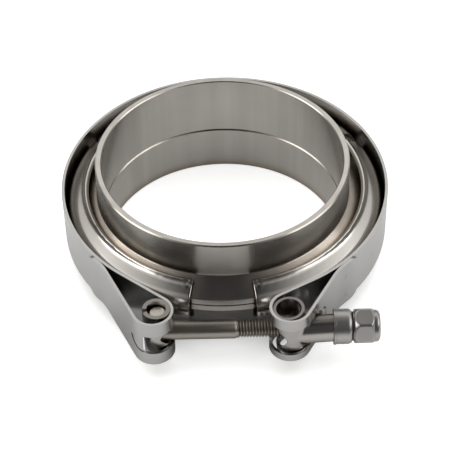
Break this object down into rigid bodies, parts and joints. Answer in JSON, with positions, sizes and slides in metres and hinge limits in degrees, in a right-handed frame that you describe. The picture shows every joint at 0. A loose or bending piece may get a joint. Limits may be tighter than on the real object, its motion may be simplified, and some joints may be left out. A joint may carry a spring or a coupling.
{
  "type": "v band clamp",
  "caption": "V-band clamp: strap with looped ends and V-section retainers drawn round a male and a female pipe flange by a T-bolt, cup washer and lock nut.",
  "frame": {"origin": "centre of the flange joint, on the pipe's axis", "axes": "+Z along the pipe towards the male flange, -Y towards the bolt, +X along the bolt towards the nut"},
  "size_m": [0.1154, 0.1266, 0.0406],
  "materials": {
    "flange_steel": "satin turned stainless steel",
    "retainer_steel": "bright rolled stainless steel",
    "strap_steel": "brushed stainless strip",
    "bolt_steel": "dark satin steel",
    "sleeve_steel": "satin stainless steel",
    "washer_steel": "drawn stainless steel",
    "nut_steel": "polished stainless steel"
  },
  "bodies": {
    "clamp": {"upper_flange": "flange_steel", "lower_flange": "flange_steel", "back_retainer": "retainer_steel", "left_retainer": "retainer_steel", "right_retainer": "retainer_steel", "strap": "strap_steel", "t_bolt": "bolt_steel", "bolt_sleeve": "sleeve_steel", "nut_trunnion": "sleeve_steel"},
    "washer": {"cup_washer": "washer_steel"},
    "nut": {"lock_nut": "nut_steel"}
  },
  "joints": [
    {"name": "nut_travel", "type": "slide", "parent": "clamp", "child": "washer", "axis": [1, 0, 0], "range_m": [0, 0.007]},
    {"name": "nut_turn", "type": "hinge", "parent": "washer", "child": "nut", "pos_m": [0.042, -0.06054, -0.00196], "axis": [1, 0, 0], "range_deg": [0, 2520]}
  ],
  "couplings": [
    {"joint": "nut_travel", "follows": "nut_turn", "m_per_rad": 0.00015915}
  ]
}
